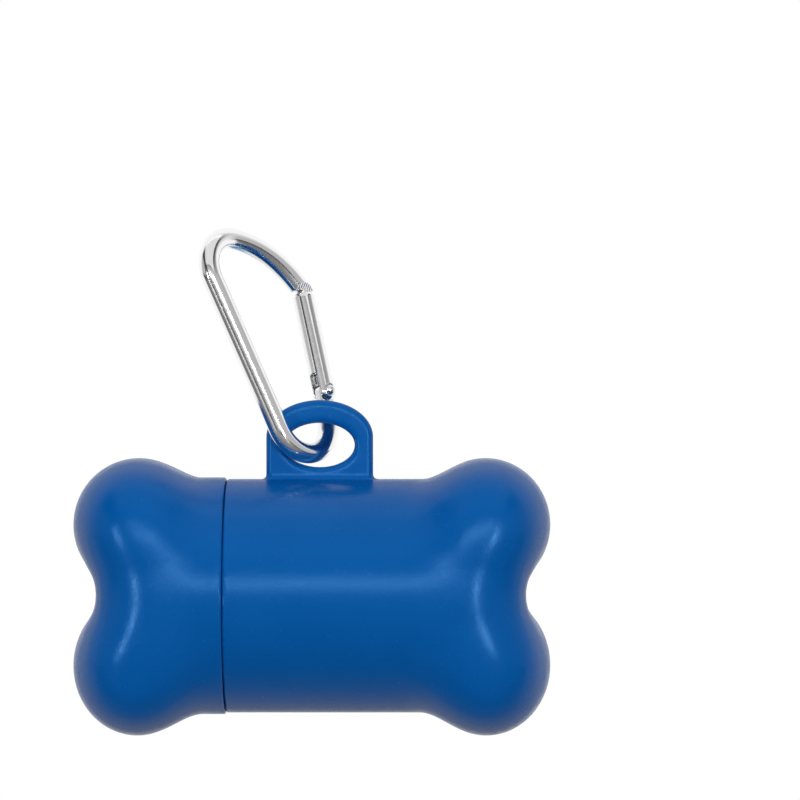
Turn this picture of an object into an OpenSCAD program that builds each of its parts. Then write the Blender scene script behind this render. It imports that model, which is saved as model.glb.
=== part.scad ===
// Bone-shaped dispenser for a roll of dog waste bags, hung by a small carabiner.
// All sizes are in millimetres. The cap is on the -X end, the ring for the carabiner points up +Z,
// the front is -Y and the bags leave through the round opening on the back, +Y.
// The origin is the point at the top of the carabiner where it hangs from a lead.

/* [Bone body] */
// Length over the four lobes
bone_length = 85; // [75:0.5:95]
// Outside diameter of the straight waist
waist_diameter = 41.8; // [39:0.1:44]
// Wall thickness of both hollow mouldings
wall = 1.5; // [1.2:0.1:1.8]
// How far an upper lobe's middle stands above the long axis
lobe_up = 12.8; // [11.5:0.1:13.5]
// Half the height of an upper lobe, seen from the front
lobe_radius = 11.8; // [11:0.1:12.5]
// Half the height of a lower lobe, which is a little larger
low_radius = 12.6; // [11.5:0.1:13]
// Half the depth of a lobe, from front to back
lobe_depth = 19.7; // [19:0.1:20.5]
// How square a lobe looks from above: 2 is an ellipse, more is fuller
lobe_fullness = 2.35; // [2:0.05:2.6]
// Width of the soft valley between two curved forms, at the sides of the bone
blend = 2.2; // [1.5:0.1:3]
// How much wider that valley gets with each millimetre towards the front and back
blend_growth = 0.35; // [0:0.05:0.4]

/* [Bag opening] */
// Diameter of the round opening in the back
opening_diameter = 25; // [20:0.2:27]
// Place of the opening along the body
opening_x = 3.2; // [0:0.1:5]

/* [Ring for the carabiner] */
// Width of the ring
ring_width = 19.1; // [17:0.1:20]
// Height of the ring's top over the long axis
ring_top = 35; // [34.5:0.1:36]
// Thickness of the ring from front to back
ring_thick = 4.4; // [4:0.1:4.6]
// Width of the eye
eye_width = 12.5; // [12:0.1:13]
// Height of the eye
eye_height = 7.9; // [7.6:0.1:8.2]

/* [Cap] */
// Place of the seam between cap and body
seam_x = -15.3; // [-16:0.1:-14.5]
// How far the cap's outside stands proud of the waist
cap_step = 0.25; // [0:0.05:0.3]
// Length of the neck that goes into the cap
neck_length = 7; // [6:0.5:8]
// Free space around the neck inside the cap
neck_clearance = 0.25; // [0.2:0.05:0.35]
// Free space around the neck's ring bead, a running fit
bead_clearance = 0.05; // [0.03:0.01:0.1]

/* [Bag roll] */
// Diameter of the wound roll of bags
roll_diameter = 31; // [26:0.5:32]
// Length of the wound roll of bags
roll_length = 58; // [52:0.5:59]
// Outside diameter of the cardboard core
core_diameter = 13; // [11:0.5:16]
// Wall thickness of the cardboard core
core_wall = 1; // [0.8:0.1:1.4]
// Length of bag that is drawn out behind the opening
drawn_length = 95; // [80:1:100]
// Thickness of the drawn, folded film
film_thick = 0.5; // [0.4:0.1:0.8]

/* [Carabiner] */
// Diameter of the frame's rod
rod_diameter = 3.7; // [3.4:0.1:3.8]
// Diameter of the gate tube
gate_diameter = 4; // [3.8:0.1:4.1]
// Turn of the carabiner about its own length
link_turn = 48; // [46:1:50]
// Lean of the carabiner to the left
link_lean = 23.8; // [23:0.1:24.5]
// Thickness of the flat tongues at both ends of the gate
tongue_thick = 1.5; // [1.3:0.1:1.6]
// Diameter of the rivet that the gate turns on
rivet_diameter = 1.2; // [1:0.1:1.3]

/* [Hidden] */
$fn = 72;
eps = 0.05;

// The bone's outside is one smooth skin around a waist and two lobes at each end.
waist_r = waist_diameter / 2;
lobe_x = 11.5;
lobe_at = bone_length / 2 + 0.05 - lobe_x;
notch_x = lobe_at + 5.85;
end_round = 11.5;
low_down = lobe_up - 0.55;
fan_x = 25;
sides = 48;
skin_steps = 16;

cap_r = waist_r + cap_step;
neck_r = cap_r - wall;
socket_r = neck_r + neck_clearance;
neck_bore = neck_r - 1.3;
neck_tip = seam_x - neck_length;
socket_depth = neck_length + 0.4;
bead_x = seam_x - 4.6;
cup_from = 12;

// The roll lies on the bottom of the neck's bore.
roll_r = roll_diameter / 2;
fan_inside = 14;
roll_z = -(neck_bore - roll_r - 0.25);
roll_from = 0.4 - roll_length / 2;
core_r = core_diameter / 2;

// The carabiner is drawn in its own plane: a across, b along, both from the spine's middle.
rod_r = rod_diameter / 2;
gate_r = gate_diameter / 2;
link_at = [-12.05, -(ring_thick / 2 + rod_r + 0.3), 43.97];
top_at = [6.2, 13.6];
top_r = 6.2;
top_turn = 65;
side_r = 20.6;
side_at = top_at - (side_r - top_r) * [cos(top_turn), sin(top_turn)];
side_end = 20;
foot_at = [6.4, -15.4];
foot_r = 6.4;
foot_end = -28;
pivot = [14.6, -12.6];
gate_tilt = 16.7;
gate_long = 18.9;
gate_bevel = 0.6;
nose_gap = 0.3;
slot_wide = tongue_thick + 0.3;
rivet_fit = 0.05;
head_seat = gate_r - 0.4;
bore_r = 1.05;
bore_from = 3.2;
bore_to = 12.5;
hook_at = [7.6, 18.05];

// The hook point, moved from the carabiner's plane to the body's own axes.
hook = link_at + [
    hook_at[0] * cos(link_turn) * cos(link_lean) - hook_at[1] * sin(link_lean),
    hook_at[0] * sin(link_turn),
    hook_at[0] * cos(link_turn) * sin(link_lean) + hook_at[1] * cos(link_lean)];

// ---- The skin of the bone ------------------------------------------------

// The smaller of two distances, with a soft valley where they meet.
function soft_min(a, b, k) = let(h = max(k - abs(a - b), 0) / k) min(a, b) - h * h * k / 4;

// Distance from a point to one lobe of half height r, measured from the lobe's middle.
// From the front a lobe is an ellipse; from above it is a little fuller than one.
function lobe_gap(x, y, z, r) = let(
    q = max(norm([x / lobe_x, z / r]), 0.001),
    v = abs(y) / lobe_depth,
    a = pow(pow(q, lobe_fullness) + pow(v, lobe_fullness), 1 / lobe_fullness),
    across = pow(q / a, lobe_fullness - 1) * norm([x / pow(lobe_x, 2), z / pow(r, 2)]) / q,
    deep = pow(v / a, lobe_fullness - 1) / lobe_depth)
    (a - 1) / norm([across, deep]);

// Distance from a point to the round-ended waist.
function waist_gap(x, r, w) = let(a = x - notch_x + end_round, b = r - w + end_round)
    norm([max(a, 0), max(b, 0)]) + min(max(a, b), 0) - end_round;

// Distance from a point to the whole end of the bone.
function bone_gap(p, w) = let(
    k = blend + blend_growth * min(abs(p[1]), 16),
    up = lobe_gap(p[0] - lobe_at, p[1], p[2] - lobe_up, lobe_radius),
    down = lobe_gap(p[0] - lobe_at, p[1], p[2] + low_down, low_radius))
    soft_min(soft_min(up, down, k), waist_gap(p[0], norm([p[1], p[2]]), w), k);

// Halve the span again and again until the ray meets the skin, or the level a wall deeper.
function reach(o, d, w, deep, lo, hi, n) = let(m = (lo + hi) / 2)
    n == 0 ? m : bone_gap(o + m * d, w) < -deep ? reach(o, d, w, deep, m, hi, n - 1) : reach(o, d, w, deep, lo, m, n - 1);

// One point of the skin: o is where the ray starts on the axis, f its tip towards the end, t its turn.
function skin_point(x, f, t, w, deep) = let(
    o = [x, 0, 0],
    d = [sin(f), cos(f) * cos(t), cos(f) * sin(t)])
    o + reach(o, d, w, deep, 4, 32, 17) * d;

// The rays stand straight out along the waist and fan out in the end: [start, tip].
function rays(from, straight, fan) = concat(
    [for (i = [0:straight - 1]) [from + (fan_x - from) * pow(i / straight, 0.7), 0]],
    [for (i = [0:fan]) [fan_x, 90 * i / fan]]);

// A hollow end of the bone, open towards the waist: outer skin, rim and inner skin in one closed shell.
module bone_end(from, w, thick) {
    out = rays(from, 8, skin_steps);
    inn = rays(from, 5, skin_steps - 5);
    a = len(out) - 1;
    b = len(inn) - 1;
    points = concat(
        [for (i = [0:a - 1]) for (k = [0:sides - 1]) skin_point(out[i][0], out[i][1], 360 * k / sides, w, 0)],
        [for (i = [0:b - 1]) for (k = [0:sides - 1]) skin_point(inn[i][0], inn[i][1], 360 * k / sides, w, thick)],
        [skin_point(fan_x, 90, 0, w, 0), skin_point(fan_x, 90, 0, w, thick)]);
    tip = (a + b) * sides;
    function next(k) = (k + 1) % sides;
    faces = concat(
        [for (i = [0:a - 2]) for (k = [0:sides - 1]) for (h = [0, 1]) h == 0 ?
            [i * sides + k, (i + 1) * sides + k, i * sides + next(k)] :
            [i * sides + next(k), (i + 1) * sides + k, (i + 1) * sides + next(k)]],
        [for (k = [0:sides - 1]) [(a - 1) * sides + k, tip, (a - 1) * sides + next(k)]],
        [for (i = [a:a + b - 2]) for (k = [0:sides - 1]) for (h = [0, 1]) h == 0 ?
            [i * sides + k, i * sides + next(k), (i + 1) * sides + k] :
            [i * sides + next(k), (i + 1) * sides + next(k), (i + 1) * sides + k]],
        [for (k = [0:sides - 1]) [(a + b - 1) * sides + k, (a + b - 1) * sides + next(k), tip + 1]],
        [for (k = [0:sides - 1]) for (h = [0, 1]) h == 0 ?
            [k, next(k), a * sides + k] :
            [next(k), a * sides + next(k), a * sides + k]]);
    polyhedron(points, faces, convexity = 6);
}

// ---- Small helpers --------------------------------------------------------

// Everything is drawn about the body's middle, then moved so that the hook point is the origin.
module placed() {
    translate(-hook) children();
}

// From the carabiner's plane to the body: local x is across, z is along, y is through the plane.
module in_link() {
    translate(link_at) rotate([0, -link_lean, 0]) rotate([0, 0, link_turn]) children();
}

// A cylinder along X.
module along_x(from, to, r) {
    translate([from, 0, 0]) rotate([0, 90, 0]) cylinder(r = r, h = to - from);
}

// A bent piece of rod in the carabiner's plane.
module bend(at, r, from, to) {
    translate([at[0], 0, at[1]]) rotate([90, 0, 0]) rotate([0, 0, from])
        rotate_extrude(angle = to - from) translate([r, 0]) circle(r = rod_r, $fn = 40);
}

module knuckle() {
    sphere(r = rod_r + 0.02, $fn = 40);
}

// The gate's own axes: local z runs up the gate from the rivet.
module at_gate() {
    in_link() translate([pivot[0], 0, pivot[1]]) rotate([0, gate_tilt, 0]) children();
}

// ---- Housing --------------------------------------------------------------

// Half an ellipse on top of two straight sides, drawn smaller by the given inset.
module ring_face(inset, thick) {
    rx = ring_width / 2 - inset;
    rz = 6.6 - inset;
    spring_z = ring_top - 6.6;
    points = concat([[-rx, 16], [rx, 16]],
        [for (i = [0:24]) [rx * cos(180 * i / 24), spring_z + rz * sin(180 * i / 24)]]);
    rotate([90, 0, 0]) linear_extrude(thick, center = true) polygon(points);
}

module eye_face(grow, thick) {
    rotate([90, 0, 0]) linear_extrude(thick, center = true)
        polygon([for (i = [0:35]) [(eye_width / 2 + grow) * cos(10 * i), (eye_height / 2 + grow) * sin(10 * i)]]);
}

// The ring stands on the seam line of the moulding, with softened edges round the arch and the eye.
module carabiner_ring() {
    eye_z = ring_top - 4.1 - eye_height / 2;
    translate([1.34, 0, 0]) difference() {
        hull() {
            ring_face(0, ring_thick - 2);
            ring_face(0.3, ring_thick - 0.8);
            ring_face(1, ring_thick);
        }
        translate([0, 0, eye_z]) {
            eye_face(0, ring_thick + 2);
            for (s = [-1, 1]) translate([0, s * (ring_thick / 2 - 0.35), 0]) hull() {
                eye_face(0, 0.7);
                translate([0, s * 0.35, 0]) eye_face(0.7, 0.4);
            }
        }
    }
}

// One hollow moulding: straight waist, lobed end, neck for the cap, ring and bag opening.
module housing() color([0.02, 0.36, 0.66]) placed() {
    difference() {
        union() {
            bone_end(cup_from, waist_r - 0.05, wall - 0.1);
            difference() {
                union() {
                    along_x(seam_x, cup_from + 0.5, waist_r);
                    along_x(neck_tip, seam_x + 1, neck_r);
                    // The bead that holds the cap: a low ring with sloping sides.
                    translate([bead_x, 0, 0]) rotate([0, 90, 0]) rotate_extrude()
                        polygon([[neck_r - 0.4, -0.9], [socket_r - bead_clearance, -0.3],
                            [socket_r - bead_clearance, 0.3], [neck_r - 0.4, 0.9]]);
                    carabiner_ring();
                }
                along_x(seam_x + 1.5, cup_from + 1, waist_r - wall);
                along_x(neck_tip - 1, seam_x + 2, neck_bore);
                // The neck's mouth is bevelled so that a new roll slides in.
                translate([neck_tip - eps, 0, 0]) rotate([0, 90, 0])
                    cylinder(r1 = neck_bore + 0.6, r2 = neck_bore - eps, h = 0.7);
            }
        }
        translate([opening_x, 0, 0]) rotate([-90, 0, 0]) {
            cylinder(d = opening_diameter, h = waist_r + 5);
            // The rim is eased on the outside.
            translate([0, 0, waist_r - 1.5]) cylinder(d1 = opening_diameter, d2 = opening_diameter + 3, h = 1.5 + eps);
        }
    }
}

// ---- End cap --------------------------------------------------------------

// The other lobed end, which pushes over the neck.
module end_cap() color([0.02, 0.36, 0.66]) placed() {
    difference() {
        mirror([1, 0, 0]) bone_end(-seam_x + 0.1, cap_r, wall);
        along_x(seam_x - socket_depth, seam_x + 1, socket_r);
        // The groove that the neck's bead drops into.
        translate([bead_x, 0, 0]) rotate([0, 90, 0]) rotate_extrude()
            polygon([[socket_r - 0.5, -1.3], [socket_r + 0.3, -0.5], [socket_r + 0.3, 0.5], [socket_r - 0.5, 1.3]]);
    }
}

// ---- Bags -----------------------------------------------------------------

// Film wound on the core, with a small bevel at both faces.
module bag_roll() color([0.35, 0.62, 0.86]) placed() {
    translate([roll_from, 0, roll_z]) rotate([0, 90, 0]) rotate_extrude()
        polygon([[core_r + 0.1, 0], [roll_r - 0.4, 0], [roll_r, 0.4], [roll_r, roll_length - 0.4],
            [roll_r - 0.4, roll_length], [core_r + 0.1, roll_length]]);
}

// The cardboard tube in the middle of the roll.
module roll_core() color([0.72, 0.58, 0.42]) placed() {
    translate([roll_from - 0.5, 0, roll_z]) rotate([0, 90, 0]) difference() {
        cylinder(r = core_r, h = roll_length + 1);
        translate([0, 0, -1]) cylinder(r = core_r - core_wall, h = roll_length + 3);
    }
}

// The drawn bag runs from the roll to the opening and fans out behind it.
// Its left and right edge, and how far its hem reaches, at a distance h behind the opening:
function fan_left(h) = lookup(h, [[-14, -26], [-7, -8.6], [20, -8.6], [28, -13], [37, -21], [50, -28],
    [58, -30], [drawn_length, -47]]);
function fan_right(h) = lookup(h, [[-14, 27], [-7, 13.8], [9, 13.8], [28, 21.6], [42, 28], [59, 34],
    [74, 38], [drawn_length, 39]]);
function fan_hem(v) = drawn_length + lookup(v, [[0, -3], [0.3, 6.7], [0.37, 0.6], [0.47, 8], [0.59, -3], [1, -5]]);

// The film is gathered into pleats, so each row of points zigzags up and down.
function fan_point(i, k, rows, cols, side) = let(
    u = i / rows,
    v = k / cols,
    h = -fan_inside + (fan_hem(v) + fan_inside) * pow(u, 1.15),
    x = fan_left(h) + (fan_right(h) - fan_left(h)) * v,
    out = max(h, 0) / drawn_length,
    depth = 0.1 + 1.1 * min(1, (h + fan_inside) / fan_inside) + 6.5 * out,
    pleat = depth * cos(900 * v + 40 * out) * (0.6 + 0.4 * sin(220 * v)),
    y = waist_r + 0.2 + (h < 0 ? 0.76 * h : h),
    z = 0.5 + (h < 0 ? -0.65 * h : 9 * out - 16 * out * out))
    [x, y, z + pleat + side * film_thick / 2];

module drawn_bag() color([0.55, 0.72, 0.93]) placed() {
    rows = 18;
    cols = 30;
    n = cols + 1;
    half = (rows + 1) * n;
    points = [for (side = [1, -1]) for (i = [0:rows]) for (k = [0:cols]) fan_point(i, k, rows, cols, side)];
    faces = concat(
        [for (i = [0:rows - 1]) for (k = [0:cols - 1]) for (h = [0, 1]) h == 0 ?
            [i * n + k, (i + 1) * n + k, i * n + k + 1] :
            [i * n + k + 1, (i + 1) * n + k, (i + 1) * n + k + 1]],
        [for (i = [0:rows - 1]) for (k = [0:cols - 1]) for (h = [0, 1]) h == 0 ?
            [half + i * n + k, half + i * n + k + 1, half + (i + 1) * n + k] :
            [half + i * n + k + 1, half + (i + 1) * n + k + 1, half + (i + 1) * n + k]],
        [for (k = [0:cols - 1]) for (h = [0, 1]) h == 0 ?
            [k, k + 1, half + k] : [k + 1, half + k + 1, half + k]],
        [for (k = [0:cols - 1]) for (h = [0, 1]) let(a = rows * n) h == 0 ?
            [a + k, half + a + k, a + k + 1] : [a + k + 1, half + a + k, half + a + k + 1]],
        [for (i = [0:rows - 1]) for (h = [0, 1]) h == 0 ?
            [i * n, half + i * n, (i + 1) * n] : [(i + 1) * n, half + i * n, half + (i + 1) * n]],
        [for (i = [0:rows - 1]) for (h = [0, 1]) let(a = i * n + cols, c = (i + 1) * n + cols) h == 0 ?
            [a, c, half + a] : [c, half + c, half + a]]);
    polyhedron(points, faces, convexity = 10);
}

// ---- Carabiner ------------------------------------------------------------

// One bent aluminium rod, with a tongue for the gate's top and a flat tang for its rivet.
module carabiner_frame() color([0.8, 0.81, 0.83]) placed() in_link() {
    foot_tip = foot_at + foot_r * [cos(foot_end), sin(foot_end)];
    side_tip = side_at + side_r * [cos(side_end), sin(side_end)];
    translate([0, 0, foot_at[1]]) cylinder(r = rod_r, h = top_at[1] - foot_at[1]);
    bend(top_at, top_r, top_turn, 180);
    bend(side_at, side_r, side_end, top_turn);
    bend(foot_at, foot_r, -180, foot_end);
    // The lengths of rod run into one another at these knuckles.
    top_tip = top_at + top_r * [cos(top_turn), sin(top_turn)];
    for (p = [[0, foot_at[1]], [0, top_at[1]], top_tip, foot_tip])
        translate([p[0], 0, p[1]]) knuckle();
    // The nose, cut off square to the gate and milled to a wedge on both sides.
    difference() {
        translate([side_tip[0], 0, side_tip[1]]) {
            knuckle();
            rotate([0, 180 - side_end, 0]) cylinder(r = rod_r, h = 4);
        }
        translate([pivot[0], 0, pivot[1]]) rotate([0, gate_tilt, 0]) translate([0, 0, gate_long + nose_gap]) {
            translate([-10, -10, -20]) cube([20, 20, 20]);
            for (s = [0, 180]) rotate([0, 0, s]) rotate([90, 0, 90]) linear_extrude(20, center = true)
                polygon([[tongue_thick / 2, -1], [tongue_thick / 2, 0], [tongue_thick / 2 + 3, 3],
                    [tongue_thick / 2 + 3, -1]]);
        }
    }
    // The nose's tongue, which drops into the slot in the gate's top.
    translate([pivot[0], 0, pivot[1]]) rotate([0, gate_tilt, 0]) intersection() {
        translate([-0.6, -tongue_thick / 2, gate_long - 1.9]) cube([2.3, tongue_thick, 3.2]);
        translate([0, 0, gate_long - 3]) cylinder(r = rod_r, h = 6);
    }
    // The tang, round about the rivet.
    difference() {
        union() {
            translate([pivot[0], 0, pivot[1]]) rotate([90, 0, 0])
                cylinder(r = 1.6, h = tongue_thick, center = true);
            translate([foot_tip[0], 0, foot_tip[1]]) rotate([0, 90 - atan2(pivot[1] - foot_tip[1], pivot[0] - foot_tip[0]), 0])
                translate([-1.6, -tongue_thick / 2, -1.5]) cube([3.2, tongue_thick, 1.5 + tang_run(foot_tip)]);
        }
        translate([pivot[0], 0, pivot[1]]) rotate([90, 0, 0])
            cylinder(d = rivet_diameter + 2 * rivet_fit, h = tongue_thick + 2, center = true, $fn = 32);
    }
}
function tang_run(tip) = norm(pivot - tip);

// A turned tube with a slot at both ends and a blind bore for its spring.
module carabiner_gate() color([0.8, 0.81, 0.83]) placed() at_gate() {
    difference() {
        union() {
            sphere(r = gate_r, $fn = 40);
            cylinder(r = gate_r, h = gate_long - gate_bevel);
            translate([0, 0, gate_long - gate_bevel]) cylinder(r1 = gate_r, r2 = gate_r - gate_bevel, h = gate_bevel);
        }
        // Slot for the tang.
        translate([-3, -slot_wide / 2, -3]) cube([6, slot_wide, 5.2]);
        translate([-3, -slot_wide / 2, 2]) cube([3.6, slot_wide, 1.4]);
        // Slot for the nose's tongue, open on the outer side.
        translate([-1, -slot_wide / 2, gate_long - 2.3]) cube([4, slot_wide, 3]);
        // Bore for the spring.
        translate([0, 0, 1]) cylinder(r = bore_r, h = bore_to - 1, $fn = 32);
        // Hole for the rivet, with a flat seat for each head.
        rotate([90, 0, 0]) cylinder(d = rivet_diameter + 0.04, h = 6, center = true, $fn = 32);
        for (s = [0, 180]) rotate([90 + s, 0, 0]) translate([0, 0, head_seat]) cylinder(r = 1.1, h = 3, $fn = 32);
    }
}

// A round-headed rivet through the gate and the tang.
module gate_rivet() color([0.72, 0.73, 0.75]) placed() at_gate() rotate([90, 0, 0]) {
    cylinder(d = rivet_diameter, h = 2 * head_seat + 0.5, center = true, $fn = 32);
    for (s = [0, 180]) rotate([s, 0, 0]) translate([0, 0, head_seat + 0.02]) intersection() {
        translate([0, 0, -0.2]) sphere(r = 1.02, $fn = 32);
        cylinder(r = 2, h = 2);
    }
}

// The pin that the spring presses on the end of the tang.
module spring_plunger() color([0.6, 0.61, 0.63]) placed() at_gate() {
    translate([0, 0, 1.9]) cylinder(r = bore_r - 0.1, h = 1.6, $fn = 24);
    translate([0, 0, 3.5]) cylinder(r = 0.5, h = 1.2, $fn = 24);
}

// The wire spring in the gate's bore: rings of points follow the curls.
spring_curls = 7;
spring_wire = 0.32;
coil_r = bore_r - spring_wire / 2 - 0.08;
spring_from = 3.5 + spring_wire / 2 + 0.02;
spring_rise = (bore_to - 0.02 - spring_wire / 2 - spring_from) / spring_curls;
function wire_point(i, k, m) = let(
    r = coil_r + spring_wire / 2 * cos(360 * k / m),
    z = spring_from + spring_rise * i / 8 + spring_wire / 2 * sin(360 * k / m))
    [r * cos(45 * i), r * sin(45 * i), z];

module gate_spring() color([0.55, 0.56, 0.58]) placed() at_gate() {
    m = 6;
    rings = 8 * spring_curls;
    points = [for (i = [0:rings]) for (k = [0:m - 1]) wire_point(i, k, m)];
    faces = concat(
        [for (i = [0:rings - 1]) for (k = [0:m - 1]) for (h = [0, 1]) let(j = (k + 1) % m) h == 0 ?
            [i * m + k, i * m + j, (i + 1) * m + k] :
            [i * m + j, (i + 1) * m + j, (i + 1) * m + k]],
        [[for (k = [m - 1:-1:0]) k]],
        [[for (k = [0:m - 1]) rings * m + k]]);
    echo(least_gap_between_curls = spring_rise - spring_wire);
    polyhedron(points, faces, convexity = 10);
}

housing();
end_cap();
bag_roll();
roll_core();
drawn_bag();
carabiner_frame();
carabiner_gate();
gate_rivet();
gate_spring();
spring_plunger();
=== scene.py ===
# %% [markdown]
# # A bone-shaped bag dispenser, dressed for a product picture
# The measured model already holds every piece in its real place, with its joints.
# This lesson gives those pieces their real surfaces: a blow-moulded plastic bone, a bright
# aluminium carabiner, a wound roll of film and one crumpled bag drawn out of the back.

# %% Load the measured model
import math
import bpy
import numpy as np
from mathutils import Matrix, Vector


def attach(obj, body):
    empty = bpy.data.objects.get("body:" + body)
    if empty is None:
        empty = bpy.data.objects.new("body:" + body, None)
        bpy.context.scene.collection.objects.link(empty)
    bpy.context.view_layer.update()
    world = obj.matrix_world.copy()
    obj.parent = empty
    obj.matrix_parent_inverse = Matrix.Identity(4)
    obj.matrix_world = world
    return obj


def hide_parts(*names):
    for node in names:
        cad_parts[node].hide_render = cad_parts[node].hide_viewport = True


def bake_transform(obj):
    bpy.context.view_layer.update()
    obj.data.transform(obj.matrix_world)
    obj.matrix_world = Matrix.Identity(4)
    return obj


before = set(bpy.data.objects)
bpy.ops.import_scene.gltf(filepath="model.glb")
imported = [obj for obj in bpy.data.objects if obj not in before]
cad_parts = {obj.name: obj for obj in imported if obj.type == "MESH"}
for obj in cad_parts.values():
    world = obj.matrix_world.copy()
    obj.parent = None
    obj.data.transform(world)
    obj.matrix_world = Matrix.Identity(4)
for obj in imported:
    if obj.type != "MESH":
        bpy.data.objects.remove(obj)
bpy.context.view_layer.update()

# %% [markdown]
# ## Where things are
# The makers of the bone measure from its middle: X along it, Z up through the ring, Y to the
# back. The stored model measures from the point where the lead pulls on the carabiner. One
# shift turns the first into the second, so every shape below can be written in plain
# millimetres from the bone's middle.

# %% From the bone's middle to the stored frame
LINK_TURN = math.radians(48.0)
LINK_LEAN = math.radians(23.8)
LINK_AT = np.array([-12.05, -4.35, 43.97])
LEAD_POINT = (7.6, 0.0, 18.05)


def link_to_bone(a, through, b):
    """A point of the carabiner's own plane, in mm from the bone's middle.

    It lies a across the plane, b along it and through it by the second value.
    """
    ct, st = math.cos(LINK_TURN), math.sin(LINK_TURN)
    cl, sl = math.cos(LINK_LEAN), math.sin(LINK_LEAN)
    x1 = a * ct - through * st
    y1 = a * st + through * ct
    x, y, z = LINK_AT
    return np.stack([x1 * cl - b * sl + x, y1 + y, x1 * sl + b * cl + z], axis=-1)


HOOK = link_to_bone(*LEAD_POINT)


def to_frame(points):
    """Millimetres from the bone's middle become metres in the stored frame."""
    return (np.asarray(points, float) - HOOK) / 1000.0


print("lead point from the bone's middle (mm):", HOOK.round(2))

# %% [markdown]
# ## The camera
# The picture is taken level, square to the front of the bone, from far enough away that the
# bone's round shape hardly swells. The seam between cap and body bows by about a millimetre in
# the picture; a camera 72 cm away with a long lens gives the same bow.

# %% Set the camera
CAMERA_AT = (15.7, -720.0, 35.0)
LENS = 181.0
camera_data = bpy.data.cameras.new("picture_camera")
camera_data.sensor_width = 36.0
camera_data.lens = LENS
camera_data.clip_start = 0.01
camera = bpy.data.objects.new("picture_camera", camera_data)
camera.location = to_frame(CAMERA_AT)
camera.rotation_euler = (math.radians(90), 0, 0)
bpy.context.scene.collection.objects.link(camera)
bpy.context.scene.camera = camera
bpy.context.scene.view_settings.view_transform = "Standard"
print("camera at", tuple(round(c, 4) for c in camera.location))

# %% [markdown]
# ## Skins grown from distances
# Moulded plastic and bent rod have one thing in common: no edge is perfectly sharp, and where
# two forms meet there is a small fillet. Modelling that with cuts and bevels is slow. Here each
# piece is written as a distance instead: a formula that is negative inside the material and
# positive outside. Two distances join with a soft minimum, which makes the fillet by itself.
# A net is then stretched over the places where the distance is zero, and each knot of the net
# slides onto the exact surface.

# %% Soft joins and cuts
def join(a, b, fillet):
    """The union of two forms, with a fillet of about the given size in the corner between them."""
    h = np.maximum(fillet - np.abs(a - b), 0) / fillet
    return np.minimum(a, b) - h * h * fillet / 4


def cut(a, b, ease):
    """What is left of form a outside form b, with the new edge eased by about the given size."""
    return -join(-a, b, ease)


def both(a, b, ease):
    """Only what two forms share, with the edge eased."""
    return -join(-a, -b, ease)


# %% Grow a net over a form
def grow_skin(shape, low, high, step):
    """Points (mm) and four-sided faces of the closed surface where shape(x, y, z) is zero."""
    axes = [np.arange(a, b + step, step) for a, b in zip(low, high)]
    grid = np.meshgrid(*axes, indexing="ij", sparse=True)
    field = shape(*grid)
    field = np.broadcast_to(field, [len(a) for a in axes])
    inside = field < 0
    whole = np.ones([n - 1 for n in field.shape], bool)
    some = np.zeros_like(whole)
    corners = [(i, j, k) for i in (0, 1) for j in (0, 1) for k in (0, 1)]
    for i, j, k in corners:
        part = inside[i:i + whole.shape[0], j:j + whole.shape[1], k:k + whole.shape[2]]
        whole &= part
        some |= part
    cells = np.argwhere(some & ~whole)
    total = np.zeros((len(cells), 3))
    count = np.zeros(len(cells))
    for a in corners:
        for d in range(3):
            if a[d]:
                continue
            b = list(a)
            b[d] = 1
            fa = field[tuple((cells + a).T)]
            fb = field[tuple((cells + b).T)]
            crossed = (fa < 0) != (fb < 0)
            t = np.where(crossed, fa / np.where(crossed, fa - fb, 1), 0)
            spot = np.array(a, float)[None, :].repeat(len(cells), 0)
            spot[:, d] += t
            total += spot * crossed[:, None]
            count += crossed
    points = np.array([a[0] for a in axes]) + (cells + total / count[:, None]) * step
    number = np.full(whole.shape, -1, np.int64)
    number[tuple(cells.T)] = np.arange(len(cells))
    faces = []
    for d in range(3):
        lo = [slice(None)] * 3
        hi = [slice(None)] * 3
        lo[d], hi[d] = slice(0, -1), slice(1, None)
        change = inside[tuple(lo)] != inside[tuple(hi)]
        at = np.argwhere(change)
        u, v = (d + 1) % 3, (d + 2) % 3
        at = at[(at[:, u] > 0) & (at[:, v] > 0)]
        at = at[(at[:, u] < whole.shape[u]) & (at[:, v] < whole.shape[v])]
        e1 = np.zeros(3, int)
        e2 = np.zeros(3, int)
        e1[u] = 1
        e2[v] = 1
        quad = np.stack([number[tuple((at - s).T)] for s in (e1 + e2, e2, 0 * e1, e1)], axis=1)
        outward = inside[tuple(at.T)]
        quad[~outward] = quad[~outward][:, ::-1]
        faces.append(quad)
    faces = np.concatenate(faces)
    for _ in range(3):
        points = slide_onto(shape, points, 0.4 * step)
    return points, faces


def slide_onto(shape, points, longest):
    """Move each point along the form's slope until the distance there is zero."""
    e = 0.02  # the slope is measured this far to either side, in mm
    x, y, z = points.T
    f = shape(x, y, z)
    slope = np.stack([
        shape(x + e, y, z) - shape(x - e, y, z),
        shape(x, y + e, z) - shape(x, y - e, z),
        shape(x, y, z + e) - shape(x, y, z - e)], axis=1) / (2 * e)
    steep = np.maximum((slope ** 2).sum(1), 0.2)
    move = -slope * (f / steep)[:, None]
    size = np.linalg.norm(move, axis=1)
    return points + move * np.minimum(1, longest / np.maximum(size, 1e-9))[:, None]


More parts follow.
